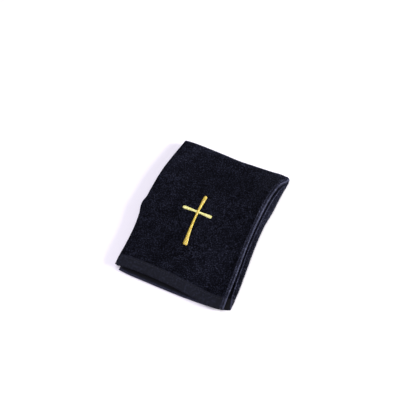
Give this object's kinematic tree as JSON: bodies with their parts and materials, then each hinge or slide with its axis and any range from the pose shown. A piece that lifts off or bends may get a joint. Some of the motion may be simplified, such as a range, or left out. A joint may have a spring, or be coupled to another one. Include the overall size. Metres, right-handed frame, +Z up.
{
  "type": "folded clergy hand towel with embroidered cross",
  "caption": "Black velour hand towel with flat woven hem bands and a gold satin-stitch cross, folded in half lengthwise and again crosswise into a flat stack.",
  "frame": {"origin": "under the middle of the folded towel, on the surface it lies on", "axes": "+X to the lengthwise fold, +Y from the hems to the crosswise fold, +Z up through the plies"},
  "size_m": [0.1553, 0.2027, 0.019],
  "materials": {
    "velour": "black cut-pile cotton velour with flat woven hem bands",
    "gold_thread": "shiny gold rayon embroidery thread in satin stitch"
  },
  "bodies": {
    "root": {"towel_cloth": "velour", "cross_crossbar": "gold_thread", "cross_upright": "gold_thread"}
  },
  "joints": []
}
